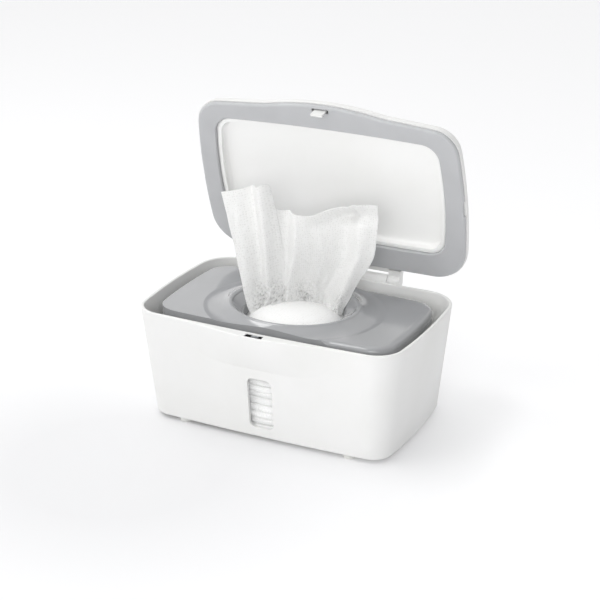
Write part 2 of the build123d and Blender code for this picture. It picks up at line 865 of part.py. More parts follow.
# Weighted plate, bottom half: a flat cover with a collar that lines the hole
with BuildPart() as plate_bottom:
    extrude(plate_outline(plate_bottom_height), amount=plate_floor)
    extrude(
        disc(bin_plane.offset(joint_height), hole_radius + collar_wall, (0, ring_y)),
        amount=collar_top - joint_height,
    )
    extrude(
        disc(bin_plane.offset(plate_bottom_height), hole_radius, (0, ring_y)),
        amount=collar_height,
        mode=Mode.SUBTRACT,
    )
    extrude(
        disc(bin_plane.offset(plate_bottom_height), screw_shaft_radius, *plate_screw_places),
        amount=plate_floor,
        mode=Mode.SUBTRACT,
    )
    extrude(
        disc(bin_plane.offset(plate_bottom_height), screw_head_radius + head_room, *plate_screw_places),
        amount=screw_head_height,
        mode=Mode.SUBTRACT,
    )
plate_bottom.part.label = "plate_bottom"
export_step(plate_bottom.part, "parts/plate_bottom.step")

# Steel weights in the wings
for weight_name, place in zip(("weight_left", "weight_right"), pocket_places):
    with BuildPart() as weight:
        weight_plane = bin_plane.offset(joint_height + joint_gap)
        profile = oblong(weight_plane, weight_width, weight_length, place, weight_radius)
        extrude(profile, amount=weight_thickness)
    weight.part.label = weight_name
    export_step(weight.part, f"parts/{weight_name}.step")

# Screws that close the plate from below
with BuildPart() as plate_screws:
    head_bottom = plate_bottom_height + joint_gap
    shaft_bottom = plate_bottom_height + screw_head_height
    extrude(
        disc(bin_plane.offset(head_bottom), screw_head_radius, *plate_screw_places),
        amount=shaft_bottom - head_bottom,
    )
    extrude(
        disc(bin_plane.offset(shaft_bottom), screw_shaft_radius - screw_gap, *plate_screw_places),
        amount=screw_length - screw_head_height - bore_spare,
    )
plate_screws.part.label = "plate_screws"
export_step(plate_screws.part, "parts/plate_screws.step")

# Stack of wipes: a block that bulges up into the plate's hole
stack_top = plate_bottom_height - stack_gap
with BuildPart() as wipe_stack:
    extrude(
        oblong(bin_plane.offset(cavity_floor + stack_gap), stack_width, stack_depth, radius=stack_radius),
        amount=stack_top - cavity_floor - stack_gap,
    )
    with BuildSketch(ring_plane) as dome_profile:
        with BuildLine():
            TangentArc((0, stack_top + dome_rise), (dome_radius, stack_top), tangent=(1, 0))
            Line((0, stack_top + dome_rise), (0, stack_top - 2))
            Line((0, stack_top - 2), (dome_radius, stack_top - 2))
            Line((dome_radius, stack_top - 2), (dome_radius, stack_top))
        make_face()
    revolve(axis=Axis((0, bin_centre_y + ring_y, 0), (0, 0, 1)))
wipe_stack.part.label = "wipe_stack"
export_step(wipe_stack.part, "parts/wipe_stack.step")


def wipe_ribbon(height, left, right, mid_y, swing):
    """A slice of the pulled wipe: a wavy strip of arcs between its left and right edges."""
    step = (right - left) / wipe_waves
    with BuildSketch(bin_plane.offset(height)) as ribbon:
        with BuildLine():
            for wave in range(wipe_waves):
                start_x = left + wave * step
                crest = mid_y + swing * (1 if wave % 2 else -1)
                for side in (0, wipe_thickness):
                    ThreePointArc(
                        (start_x, mid_y + side),
                        (start_x + step / 2, crest + side),
                        (start_x + step, mid_y + side),
                    )
            Line((left, mid_y), (left, mid_y + wipe_thickness))
            Line((right, mid_y), (right, mid_y + wipe_thickness))
        make_face()
    return ribbon.sketch


# Pulled wipe: gathered where it leaves the stack and fanned out above, with its main folds
wipe_foot = stack_top + dome_rise + 0.4
wipe_slices = [
    (wipe_foot, -33.0, 31.0, 6.0, 3.6),
    (wipe_foot + 14, -42.0, 38.0, 6.0, 4.0),
    (wipe_foot + 36, -54.0, 56.0, 4.0, 4.4),
    (wipe_foot + 62, -61.0, 67.0, 2.0, 5.0),
    (wipe_foot + 92, -67.0, 69.0, 3.0, 6.0),
]
wipe_top_left = [(-80, 80.0), (-57, 85.0), (-27, 92.5), (-21, 75.0)]
wipe_top_right = [(8, 74.5), (27, 85.5), (43, 90.0), (80, 92.0)]
with BuildPart() as pulled_wipe:
    loft([wipe_ribbon(*wipe_slice) for wipe_slice in wipe_slices], ruled=True)
    with BuildSketch(Plane((0, bin_centre_y, wipe_foot), x_dir=(1, 0, 0), z_dir=(0, -1, 0))) as top_cut:
        with BuildLine():
            Polyline(*wipe_top_left, *wipe_top_right, (80, 120.0), (-80, 120.0), close=True)
        make_face()
    extrude(amount=40, both=True, mode=Mode.SUBTRACT)
pulled_wipe.part.label = "pulled_wipe"
export_step(pulled_wipe.part, "parts/pulled_wipe.step")
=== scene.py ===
import math

import bmesh
import bpy
import numpy as np
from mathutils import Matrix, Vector, noise


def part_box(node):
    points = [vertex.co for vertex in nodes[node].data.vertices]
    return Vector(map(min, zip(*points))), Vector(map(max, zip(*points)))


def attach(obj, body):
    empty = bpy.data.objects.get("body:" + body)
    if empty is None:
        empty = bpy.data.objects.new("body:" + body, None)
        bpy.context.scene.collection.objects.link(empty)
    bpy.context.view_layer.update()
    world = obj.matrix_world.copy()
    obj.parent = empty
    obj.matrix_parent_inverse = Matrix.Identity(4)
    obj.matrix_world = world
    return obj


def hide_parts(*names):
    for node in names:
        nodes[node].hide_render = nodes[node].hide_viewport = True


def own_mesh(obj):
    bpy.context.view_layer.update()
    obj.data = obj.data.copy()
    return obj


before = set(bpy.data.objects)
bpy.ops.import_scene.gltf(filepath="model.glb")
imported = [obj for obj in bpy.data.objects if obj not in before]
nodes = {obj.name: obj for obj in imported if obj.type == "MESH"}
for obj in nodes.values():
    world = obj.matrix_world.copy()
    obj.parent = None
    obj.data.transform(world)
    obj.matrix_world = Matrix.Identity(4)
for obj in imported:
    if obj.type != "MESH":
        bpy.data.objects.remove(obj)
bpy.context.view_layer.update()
scene = bpy.context.scene

# Viewpoint: the open dispenser is seen from its front right corner, a little from above, through a long
# lens. The place is in metres from the middle of the surface that it stands on.
camera_place = (0.5181, -1.0548, 0.5780)
camera_azimuth = math.radians(26.16)
camera_height_angle = math.radians(22.35)
lens_mm = 95.74
sensor_mm = 36.0
camera_data = bpy.data.cameras.new("photo_camera")
camera_data.sensor_width = sensor_mm
camera_data.lens = lens_mm
camera = bpy.data.objects.new("photo_camera", camera_data)
camera.location = camera_place
camera.rotation_euler = (math.pi / 2 - camera_height_angle, 0.0, camera_azimuth)
scene.collection.objects.link(camera)
scene.camera = camera

# Table and light: a white sweep of painted board in a white room that is darker at the right front. A long
# softbox hangs high at the left, two stand at the front, and a small gridded one lights the lid and the
# wipe. The board glows a little, and less so where the dispenser's shade is deepest.
floor_reach = 7
board_glow_strength = 0.2
shade_middle = (-0.08, -0.15, 0.0)
shade_inner = 0.08
shade_outer = 0.3
studio_dark_side = (0.93, -0.36, 0.05)
studio_strength = 0.95


def linear(hex_colour):
    """An sRGB hex colour as the linear red, green, blue and alpha that a shader takes."""
    channels = [int(hex_colour[i : i + 2], 16) / 255 for i in (1, 3, 5)]
    return [c / 12.92 if c <= 0.04045 else ((c + 0.055) / 1.055) ** 2.4 for c in channels] + [1.0]


def add_node(tree, kind, links=(), **settings):
    """Adds a node with its settings. An input is named i_NAME or i_NUMBER, and links are (input, output)."""
    node = tree.nodes.new(kind)
    for key, value in settings.items():
        if key.startswith("i_"):
            name = key[2:].replace("_", " ")
            node.inputs[int(name) if name.isdigit() else name].default_value = value
        else:
            setattr(node, key, value)
    for target, source in links:
        tree.links.new(node.inputs[target], source)
    return node


def softbox(name, size, power, place, aim, spread=180):
    """A rectangular studio lamp with a diffuser, aimed at a point. A grid narrows its spread, in degrees."""
    light = bpy.data.lights.new(name, "AREA")
    light.shape = "RECTANGLE"
    light.size, light.size_y = size
    light.energy = power
    light.spread = math.radians(spread)
    lamp = bpy.data.objects.new(name, light)
    lamp.location = place
    lamp.rotation_euler = (Vector(aim) - Vector(place)).to_track_quat("-Z", "Y").to_euler()
    scene.collection.objects.link(lamp)


board = bpy.data.materials.new("matt_white_painted_board")
board.use_nodes = True
board_shader = board.node_tree.nodes["Principled BSDF"]
board_shader.inputs["Base Color"].default_value = linear("#EBEBEC")
board_shader.inputs["Roughness"].default_value = 0.55
board_shader.inputs["Emission Color"].default_value = linear("#FFFFFF")
board_place = add_node(board.node_tree, "ShaderNodeTexCoord").outputs["Object"]
board_far = add_node(
    board.node_tree, "ShaderNodeVectorMath", [(0, board_place)], operation="DISTANCE", i_1=shade_middle
)
board_glow = add_node(
    board.node_tree,
    "ShaderNodeMapRange",
    [("Value", board_far.outputs["Value"])],
    i_From_Min=shade_inner,
    i_From_Max=shade_outer,
    i_To_Min=0.0,
    i_To_Max=board_glow_strength,
)
board.node_tree.links.new(board_shader.inputs["Emission Strength"], board_glow.outputs["Result"])
floor_mesh = bpy.data.meshes.new("studio_floor")
floor_corners = [(x * floor_reach, y * floor_reach, 0) for x, y in ((-1, -1), (1, -1), (1, 1), (-1, 1))]
floor_mesh.from_pydata(floor_corners, [], [(0, 1, 2, 3)])
floor = bpy.data.objects.new("studio_floor", floor_mesh)
floor_mesh.materials.append(board)
scene.collection.objects.link(floor)

studio = bpy.data.worlds.new("white_studio")
studio.use_nodes = True
sky = studio.node_tree
sky_place = add_node(sky, "ShaderNodeTexCoord").outputs["Generated"]
sky_side = add_node(
    sky, "ShaderNodeVectorMath", [(0, sky_place)], operation="DOT_PRODUCT", i_1=studio_dark_side
)
sky_ramp = add_node(sky, "ShaderNodeValToRGB", [("Fac", sky_side.outputs["Value"])])
sky_ramp.color_ramp.elements[0].position = 0.05
sky_ramp.color_ramp.elements[0].color = linear("#FFFFFF")
sky_ramp.color_ramp.elements[1].position = 0.9
sky_ramp.color_ramp.elements[1].color = linear("#8C8D8F")
sky.links.new(sky.nodes["Background"].inputs["Color"], sky_ramp.outputs["Color"])
sky.nodes["Background"].inputs["Strength"].default_value = studio_strength
scene.world = studio
scene.view_settings.view_transform = "Standard"
softbox("high_left_softbox", size=(1.0, 0.32), power=4.2, place=(-0.54, -0.28, 1.25), aim=(0.0, 0.0, 0.08))
softbox("front_left_softbox", size=(0.8, 0.8), power=1.3, place=(-1.0, -1.1, 0.9), aim=(0.0, 0.0, 0.1))
softbox("camera_side_softbox", size=(0.9, 0.7), power=6.0, place=(0.85, -1.6, 0.85), aim=(0.0, 0.0, 0.12))
softbox(
    "gridded_lid_lamp",
    size=(0.25, 0.25),
    power=0.085,
    place=(0.22, -0.75, 0.38),
    aim=(0.02, 0.05, 0.165),
    spread=48,
)

# Bin: the tapered box with its brow, latch slot and hinge barrel. It is injection-moulded polypropylene in
# plain white, with a spark-eroded satin outside. The eye sees a soft, broad sheen with no grain from afar,
# faint flow marks from the gate in the floor, and a slightly warmer tone where the wall is thin.


def moulded(name, body, shade, roughness, grain_mm, grain_depth_mm, flow_mm, flow_depth_mm, ior):
    """A moulded plastic or rubber. Its tone drifts, and a fine grain sits on long shallow flow waves."""
    mat = bpy.data.materials.new(name)
    mat.use_nodes = True
    tree = mat.node_tree
    shader = tree.nodes["Principled BSDF"]
    shader.inputs["IOR"].default_value = ior
    place = add_node(tree, "ShaderNodeTexCoord").outputs["Object"]
    drift = add_node(tree, "ShaderNodeTexNoise", [("Vector", place)], i_Scale=1000 / flow_mm, i_Detail=3.0)
    tone = add_node(tree, "ShaderNodeValToRGB", [("Fac", drift.outputs["Fac"])])
    tone.color_ramp.elements[0].position = 0.3
    tone.color_ramp.elements[0].color = linear(shade)
    tone.color_ramp.elements[1].position = 0.7
    tone.color_ramp.elements[1].color = linear(body)
    grain = add_node(tree, "ShaderNodeTexNoise", [("Vector", place)], i_Scale=1000 / grain_mm, i_Detail=2.0)
    sheen = add_node(
        tree,
        "ShaderNodeMapRange",
        [("Value", drift.outputs["Fac"])],
        i_From_Min=0.3,
        i_From_Max=0.7,
        i_To_Min=roughness * 1.12,
        i_To_Max=roughness * 0.9,
    )
    waves = add_node(
        tree,
        "ShaderNodeBump",
        [("Height", drift.outputs["Fac"])],
        i_Strength=1.0,
        i_Distance=flow_depth_mm / 1000,
    )
    pores = add_node(
        tree,
        "ShaderNodeBump",
        [("Height", grain.outputs["Fac"]), ("Normal", waves.outputs["Normal"])],
        i_Strength=1.0,
        i_Distance=grain_depth_mm / 1000,
    )
    tree.links.new(shader.inputs["Base Color"], tone.outputs["Color"])
    tree.links.new(shader.inputs["Roughness"], sheen.outputs["Result"])
    tree.links.new(shader.inputs["Normal"], pores.outputs["Normal"])
    return mat


def finish_nodes(mat, *names):
    """Gives moulded and metal pieces of the frame their material."""
    for name in names:
        nodes[name].data.materials.clear()
        nodes[name].data.materials.append(mat)


# The real grain is about 0.15 mm; it is drawn at 1.1 mm, because the finer one can't show in the render.
white_satin = moulded(
    "moulded_polypropylene_white_satin",
    body="#EBEBEA",
    shade="#E7E7E5",
    roughness=0.42,
    grain_mm=1.1,
    grain_depth_mm=0.012,
    flow_mm=55,
    flow_depth_mm=0.08,
    ior=1.49,
)
finish_nodes(white_satin, "base_shell")

# Latch pocket: a black acetal plate closes it from inside the bin. Its black is painted shade, which makes
# the slot in the brow look dark and deep. It is moulded with a dull face, hard and slightly waxy, and dust
# from handling greys it a little.
slot_shade_black_plate = moulded(
    "dull_black_plate_painted_slot_shade",
    body="#232324",
    shade="#18181A",
    roughness=0.5,
    grain_mm=0.9,
    grain_depth_mm=0.012,
    flow_mm=12,
    flow_depth_mm=0.03,
    ior=1.48,
)
finish_nodes(slot_shade_black_plate, "latch_cover")

# Window: a clear styrene pane clicked into the front wall, so that the wipes left can be seen. It is
# polished in the mould, and handling leaves a slight haze and hairline scratches on it.
pane_haze_mm = 6.0
scratch_pitch_mm = 1.6
scratch_depth_mm = 0.01
clear_pane = bpy.data.materials.new("polished_clear_styrene")
clear_pane.use_nodes = True
pane_tree = clear_pane.node_tree
pane_shader = pane_tree.nodes["Principled BSDF"]
pane_shader.inputs["Base Color"].default_value = linear("#E9ECEE")
pane_shader.inputs["IOR"].default_value = 1.59
pane_place = add_node(pane_tree, "ShaderNodeTexCoord").outputs["Object"]
pane_haze = add_node(
    pane_tree, "ShaderNodeTexNoise", [("Vector", pane_place)], i_Scale=1000 / pane_haze_mm, i_Detail=4.0
)
pane_gloss = add_node(
    pane_tree,
    "ShaderNodeMapRange",
    [("Value", pane_haze.outputs["Fac"])],
    i_To_Min=0.06,
    i_To_Max=0.16,
)
pane_stretch = add_node(
    pane_tree,
    "ShaderNodeMapping",
    [("Vector", pane_place)],
    i_Scale=(1.0, 1.0, 0.04),
    i_Rotation=(0, 0.5, 0),
)
pane_scratches = add_node(
    pane_tree,
    "ShaderNodeTexNoise",
    [("Vector", pane_stretch.outputs["Vector"])],
    i_Scale=1000 / scratch_pitch_mm,
    i_Detail=1.0,
)
pane_bump = add_node(
    pane_tree,
    "ShaderNodeBump",
    [("Height", pane_scratches.outputs["Fac"])],
    i_Strength=0.4,
    i_Distance=scratch_depth_mm / 1000,
)
pane_film = add_node(
    pane_tree,
    "ShaderNodeMapRange",
    [("Value", pane_haze.outputs["Fac"])],
    i_To_Min=0.02,
    i_To_Max=0.05,
)
pane_tree.links.new(pane_shader.inputs["Roughness"], pane_gloss.outputs["Result"])
pane_tree.links.new(pane_shader.inputs["Normal"], pane_bump.outputs["Normal"])
pane_tree.links.new(pane_shader.inputs["Alpha"], pane_film.outputs["Result"])
finish_nodes(clear_pane, "window_pane")

# Feet: four soft discs pressed into the underside, die-cut from translucent thermoplastic rubber. They
# look milky and dull, a little greyer than the bin, and grip the table.
foot_rubber = moulded(
    "die_cut_milky_rubber",
    body="#DEDEDB",
    shade="#D2D2CE",
    roughness=0.62,
    grain_mm=0.9,
    grain_depth_mm=0.03,
    flow_mm=7,
    flow_depth_mm=0.03,
    ior=1.5,
)
finish_nodes(foot_rubber, "foot_front_left", "foot_front_right", "foot_rear_left", "foot_rear_right")

# Metal works: the latch catch, the hinge and button pins, the springs and the screws are steel. Pins are
# turned and bright, screws and catch are zinc plated, springs are oiled, and all show fine lines and a
# mottled face.
plating_patch_mm = 2.5
turning_line_stretch = (1.0, 0.08, 0.08)


def worked_steel(name, bright, dull, roughness, line_mm, line_depth_mm):
    """Turned or plated steel: fine lines square to X, and a plating that is duller in patches."""
    mat = bpy.data.materials.new(name)
    mat.use_nodes = True
    tree = mat.node_tree
    shader = tree.nodes["Principled BSDF"]
    shader.inputs["Metallic"].default_value = 1.0
    place = add_node(tree, "ShaderNodeTexCoord").outputs["Object"]
    patches = add_node(
        tree, "ShaderNodeTexNoise", [("Vector", place)], i_Scale=1000 / plating_patch_mm, i_Detail=4.0
    )
    plate = add_node(tree, "ShaderNodeValToRGB", [("Fac", patches.outputs["Fac"])])
    plate.color_ramp.elements[0].position = 0.35
    plate.color_ramp.elements[0].color = linear(dull)
    plate.color_ramp.elements[1].position = 0.65
    plate.color_ramp.elements[1].color = linear(bright)
    gloss = add_node(
        tree,
        "ShaderNodeMapRange",
        [("Value", patches.outputs["Fac"])],
        i_To_Min=roughness * 1.3,
        i_To_Max=roughness * 0.7,
    )
    squeeze = add_node(tree, "ShaderNodeMapping", [("Vector", place)], i_Scale=turning_line_stretch)
    lines = add_node(
        tree,
        "ShaderNodeTexNoise",
        [("Vector", squeeze.outputs["Vector"])],
        i_Scale=1000 / line_mm,
        i_Detail=2.0,
    )
    bump = add_node(
        tree,
        "ShaderNodeBump",
        [("Height", lines.outputs["Fac"])],
        i_Strength=1.0,
        i_Distance=line_depth_mm / 1000,
    )
    tree.links.new(shader.inputs["Base Color"], plate.outputs["Color"])
    tree.links.new(shader.inputs["Roughness"], gloss.outputs["Result"])
    tree.links.new(shader.inputs["Normal"], bump.outputs["Normal"])
    return mat


turned_steel = worked_steel(
    "turned_bright_steel",
    bright="#C9CACC",
    dull="#B4B5B8",
    roughness=0.24,
    line_mm=0.5,
    line_depth_mm=0.006,
)
plated_steel = worked_steel(
    "zinc_plated_steel",
    bright="#C2C4C8",
    dull="#A2A5AA",
    roughness=0.32,
    line_mm=0.6,
    line_depth_mm=0.008,
)
spring_steel = worked_steel(
    "oiled_spring_steel",
    bright="#8E8C88",
    dull="#6F6D6A",
    roughness=0.3,
    line_mm=0.9,
    line_depth_mm=0.05,
)
finish_nodes(turned_steel, "hinge_pin", "button_pin")
finish_nodes(plated_steel, "latch_catch", "lid_screws", "plate_screws")
finish_nodes(spring_steel, "lid_spring_left", "lid_spring_right", "button_spring")

# Ballast: two bars sawn from hot-rolled mild steel, dropped into pockets in the plate's wings. They are
# dark with mill scale and browner where it has worn. They can't be seen until the plate is opened.
rolled_steel = worked_steel(
    "hot_rolled_mild_steel",
    bright="#6A6562",
    dull="#4A4644",
    roughness=0.55,
    line_mm=2.5,
    line_depth_mm=0.06,
)
finish_nodes(rolled_steel, "weight_left", "weight_right")

# Lid: the outer cover is the same white moulding as the bin, with the button in its top and the hook that
# the button carries moulded from it too. The parts clip and screw together, so fine lines show between
# them.
finish_nodes(white_satin, "lid_shell", "release_button", "latch_hook")

# Lid liner: the white inner tray with its raised bead, screwed to the shell from behind the seal. It is
# the same polypropylene with a smoother face, so that damp wipes off it, and takes a clearer sheen.
white_smooth = moulded(
    "moulded_polypropylene_white_smooth",
    body="#F8F8F7",
    shade="#F4F4F2",
    roughness=0.32,
    grain_mm=2.4,
    grain_depth_mm=0.006,
    flow_mm=70,
    flow_depth_mm=0.12,
    ior=1.49,
)
finish_nodes(white_smooth, "lid_liner")

# Seal: the grey ring that closes on the bin's rim. It is a soft silicone moulding that clips round the
# liner, dull and very slightly uneven, with a faint dusting that lightens it.
seal_grey = moulded(
    "moulded_grey_silicone",
    body="#BCBDBF",
    shade="#B7B8BA",
    roughness=0.46,
    grain_mm=1.6,
    grain_depth_mm=0.02,
    flow_mm=24,
    flow_depth_mm=0.05,
    ior=1.43,
)
seal_shader = seal_grey.node_tree.nodes["Principled BSDF"]
seal_shader.inputs["Sheen Weight"].default_value = 0.12
seal_shader.inputs["Sheen Roughness"].default_value = 0.4
finish_nodes(seal_grey, "lid_gasket")

# Weighted plate: two grey ABS mouldings, held together by four screws. The wide top has a raised ring
# round the hole and a polished face that mirrors the lamps in long soft streaks, and the flat underside is
# satin.
plate_grey = moulded(
    "polished_grey_abs",
    body="#9FA0A2",
    shade="#9B9C9E",
    roughness=0.12,
    grain_mm=3.0,
    grain_depth_mm=0.002,
    flow_mm=45,
    flow_depth_mm=0.05,
    ior=1.54,
)
plate_under = moulded(
    "satin_grey_abs",
    body="#9B9C9E",
    shade="#949597",
    roughness=0.42,
    grain_mm=1.4,
    grain_depth_mm=0.014,
    flow_mm=30,
    flow_depth_mm=0.05,
    ior=1.54,
)
plate_shader = plate_grey.node_tree.nodes["Principled BSDF"]
plate_shader.inputs["Coat Weight"].default_value = 0.8
plate_shader.inputs["Coat Roughness"].default_value = 0.07
finish_nodes(plate_grey, "plate_top")
finish_nodes(plate_under, "plate_bottom")

# Stack of wipes: thirteen pads of wet nonwoven cloth, each one folded wipe over the next, pressed down by
# the plate and bulging up into its hole. Their folded noses show through the window as soft rounded ledges.
# Sizes are in metres.
stack_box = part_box("wipe_stack")
plate_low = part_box("plate_bottom")[0].z
bin_centre_y = (stack_box[0].y + stack_box[1].y) / 2
ring_forward = 0.0052
ring_centre_y = bin_centre_y - ring_forward
play_below_stack = 0.0001
play_above_stack = 0.0005
stack_low = stack_box[0].z + play_below_stack
stack_high = plate_low - play_above_stack
pad_count = 13
pad_pitch = (stack_high - stack_low) / pad_count
pad_length = 0.1868
pad_depth = 0.1115
pad_nose = 0.0014
pad_drift = 0.0007
pad_half_share = 0.49
pad_face_points = 44
pad_nose_steps = 12
pad_ribs = 60
drift_seed = 7
dome_reach = 0.0392
dome_rise = 0.0112
# Near their front and rear edges the pads sag, billow and crumple, and behind the window they bulge forward
# to the pane. The swelling under the hole is finely wrinkled. Each is about the most that a point moves.
loose_edge_share = 0.14
sag_depth = 0.0016
billow_depth = 0.0017
crumple_depth = 0.0004
window_bulge = 0.0042
window_half_width = 0.02
dome_wrinkle_depth = 0.0006
cloth_white = "#FAFAF9"
# Painted shade: this grey goes into the middle of each pressed dimple, and also marks the fibres' own tone.
dimple_shade_and_fibre_tone = "#E3E3E1"
# Painted shade for the hollows of the crumpled cloth.
pit_shade_grey = "#8A8A89"
damp_patches = 60.0


def wet_cloth(name, coordinates, dimple_mm, dimple_depth_mm, fibre_mm, glow, painted_pit_shade=False):
    """Spunlaced nonwoven of viscose and polyester: pressed dimples in a grid, and fibres between them.
    Its colour is darker in each dimple's middle, as painted shade, and it can darken the crumples' hollows
    as well, also painted shade.
    """
    mat = bpy.data.materials.new(name)
    mat.use_nodes = True
    tree = mat.node_tree
    shader = tree.nodes["Principled BSDF"]
    shader.inputs["IOR"].default_value = 1.4
    shader.inputs["Sheen Weight"].default_value = 0.25
    shader.inputs["Sheen Roughness"].default_value = 0.5
    place = add_node(tree, "ShaderNodeTexCoord").outputs[coordinates]
    dimples = add_node(
        tree,
        "ShaderNodeTexVoronoi",
        [("Vector", place)],
        feature="SMOOTH_F1",
        i_Scale=1000 / dimple_mm,
        i_Randomness=0.4,
        i_Smoothness=0.4,
    )
    fibres = add_node(tree, "ShaderNodeTexNoise", [("Vector", place)], i_Scale=1000 / fibre_mm, i_Detail=5.0)
    damp = add_node(tree, "ShaderNodeTexNoise", [("Vector", place)], i_Scale=damp_patches, i_Detail=2.0)
    # The middle of a dimple keeps a sixth of the height, so its rim slopes off softly, and the painted shade
    # in it fades off softly too.
    pressed = add_node(
        tree,
        "ShaderNodeMapRange",
        [("Value", dimples.outputs["Distance"])],
        i_From_Min=-0.12,
        i_From_Max=0.62,
        i_To_Min=0.0,
        i_To_Max=1.0,
    )
    cover = add_node(
        tree,
        "ShaderNodeMath",
        [(0, pressed.outputs["Result"]), (1, fibres.outputs["Fac"])],
        operation="MULTIPLY",
    )
    # Painted shade: the colour darkens towards each dimple's middle. Where the fibres are thin it darkens
    # too, as their own random tone.
    tone = add_node(tree, "ShaderNodeValToRGB", [("Fac", cover.outputs["Value"])])
    tone.color_ramp.elements[0].position = 0.0
    tone.color_ramp.elements[0].color = linear(dimple_shade_and_fibre_tone)
    tone.color_ramp.elements[1].position = 0.34
    tone.color_ramp.elements[1].color = linear(cloth_white)
    colour = tone.outputs["Color"]
    # Painted shade: where the sheet is crumpled, the colour of the hollows is mixed towards a dark grey.
    if painted_pit_shade:
        pit_shade_amount = add_node(tree, "ShaderNodeAttribute", attribute_name="painted_pit_shade")
        pit_shade_mix = add_node(
            tree,
            "ShaderNodeMix",
            [("Factor", pit_shade_amount.outputs["Fac"]), ("A", colour)],
            data_type="RGBA",
        )
        pit_shade_mix.inputs["B"].default_value = linear(pit_shade_grey)
        colour = pit_shade_mix.outputs["Result"]
    wetness = add_node(
        tree,
        "ShaderNodeMapRange",
        [("Value", damp.outputs["Fac"])],
        i_From_Min=0.35,
        i_From_Max=0.65,
        i_To_Min=0.5,
        i_To_Max=0.8,
    )
    press = add_node(
        tree,
        "ShaderNodeBump",
        [("Height", pressed.outputs["Result"])],
        i_Strength=1.0,
        i_Distance=dimple_depth_mm / 1000,
    )
    # The fibres stand a third as high as a dimple is deep.
    hairs = add_node(
        tree,
        "ShaderNodeBump",
        [("Height", fibres.outputs["Fac"]), ("Normal", press.outputs["Normal"])],
        i_Strength=1.0,
        i_Distance=dimple_depth_mm / 3000,
    )
    tree.links.new(shader.inputs["Base Color"], colour)
    tree.links.new(shader.inputs["Roughness"], wetness.outputs["Result"])
    tree.links.new(shader.inputs["Normal"], hairs.outputs["Normal"])
    if glow:
        through = add_node(
            tree,
            "ShaderNodeBsdfTranslucent",
            [("Color", colour), ("Normal", hairs.outputs["Normal"])],
        )
        mixed = add_node(
            tree,
            "ShaderNodeMixShader",
            [(1, shader.outputs["BSDF"]), (2, through.outputs["BSDF"])],
            i_0=glow,
        )
        tree.links.new(tree.nodes["Material Output"].inputs["Surface"], mixed.outputs["Shader"])
    return mat


# The pressed dimples are about 1.3 mm apart on such a wipe; they are drawn at 2.1 mm so that they show.
stack_cloth = wet_cloth(
    "folded_wet_nonwoven", "Object", dimple_mm=2.1, dimple_depth_mm=0.10, fibre_mm=0.8, glow=0.0
)


def pad_outline(half_height):
    """The pad's cross-section in y and z, once round: top, rear nose, underside, front nose."""
    half = pad_depth / 2 - pad_nose
    points = [(y, half_height) for y in np.linspace(-half, half, pad_face_points)]
    for step in range(1, pad_nose_steps):
        turn = math.pi / 2 - math.pi * step / pad_nose_steps
        points.append((half + math.cos(turn) * pad_nose, math.sin(turn) * half_height))
    points += [(y, -half_height) for y in np.linspace(half, -half, pad_face_points)]
    for step in range(1, pad_nose_steps):
        turn = -math.pi / 2 - math.pi * step / pad_nose_steps
        points.append((-half + math.cos(turn) * pad_nose, math.sin(turn) * half_height))
    return points


def folded_pad():
    """One folded wipe, lying flat, with its rounded folds at the front and the rear."""
    mesh = bpy.data.meshes.new("folded_wipe")
    form = bmesh.new()
    outline = pad_outline(pad_pitch * pad_half_share)
    rings = []
    for step in range(pad_ribs + 1):
        x = (step / pad_ribs - 0.5) * pad_length
        rings.append([form.verts.new((x, y, z)) for y, z in outline])
    for here, there in zip(rings, rings[1:]):
        for k in range(len(outline)):
            n = (k + 1) % len(outline)
            form.faces.new((here[k], here[n], there[n], there[k]))
    form.faces.new(rings[0][::-1])
    form.faces.new(rings[-1])
    bmesh.ops.triangulate(form, faces=[f for f in form.faces if len(f.verts) > 4])
    bmesh.ops.recalc_face_normals(form, faces=form.faces)
    form.to_mesh(mesh)
    form.free()
    return mesh


def stacking_tree(mat):
    """Geometry Nodes that lay a folded pad on the one below, each a little out of line with the last."""
    tree = bpy.data.node_groups.new("stacked_wipes", "GeometryNodeTree")
    sockets = tree.interface
    sockets.new_socket("Geometry", in_out="INPUT", socket_type="NodeSocketGeometry")
    sockets.new_socket("Pads", in_out="INPUT", socket_type="NodeSocketInt")
    sockets.new_socket("Pitch", in_out="INPUT", socket_type="NodeSocketFloat")
    sockets.new_socket("Drift", in_out="INPUT", socket_type="NodeSocketFloat")
    sockets.new_socket("Geometry", in_out="OUTPUT", socket_type="NodeSocketGeometry")
    given = add_node(tree, "NodeGroupInput").outputs
    step = add_node(tree, "ShaderNodeCombineXYZ", [("Z", given["Pitch"])])
    line = add_node(
        tree,
        "GeometryNodeMeshLine",
        [("Count", given["Pads"]), ("Offset", step.outputs["Vector"])],
        i_Start_Location=(0.0, bin_centre_y, stack_low + pad_pitch / 2),
    )
    laid = add_node(
        tree,
        "GeometryNodeInstanceOnPoints",
        [("Points", line.outputs["Mesh"]), ("Instance", given["Geometry"])],
    )
    ways = add_node(tree, "FunctionNodeRandomValue", data_type="FLOAT_VECTOR", i_Seed=drift_seed)
    ways.inputs[0].default_value = (-1.0, -1.0, 0.0)
    ways.inputs[1].default_value = (1.0, 1.0, 0.0)
    shift = add_node(
        tree,
        "ShaderNodeVectorMath",
        [(0, ways.outputs[0]), ("Scale", given["Drift"])],
        operation="SCALE",
    )
    moved = add_node(
        tree,
        "GeometryNodeTranslateInstances",
        [("Instances", laid.outputs["Instances"]), ("Translation", shift.outputs["Vector"])],
    )
    real = add_node(tree, "GeometryNodeRealizeInstances", [("Geometry", moved.outputs["Instances"])])
    done = add_node(
        tree, "GeometryNodeSetMaterial", [("Geometry", real.outputs["Geometry"])], i_Material=mat
    )
    add_node(tree, "NodeGroupOutput", [("Geometry", done.outputs["Geometry"])])
    return tree


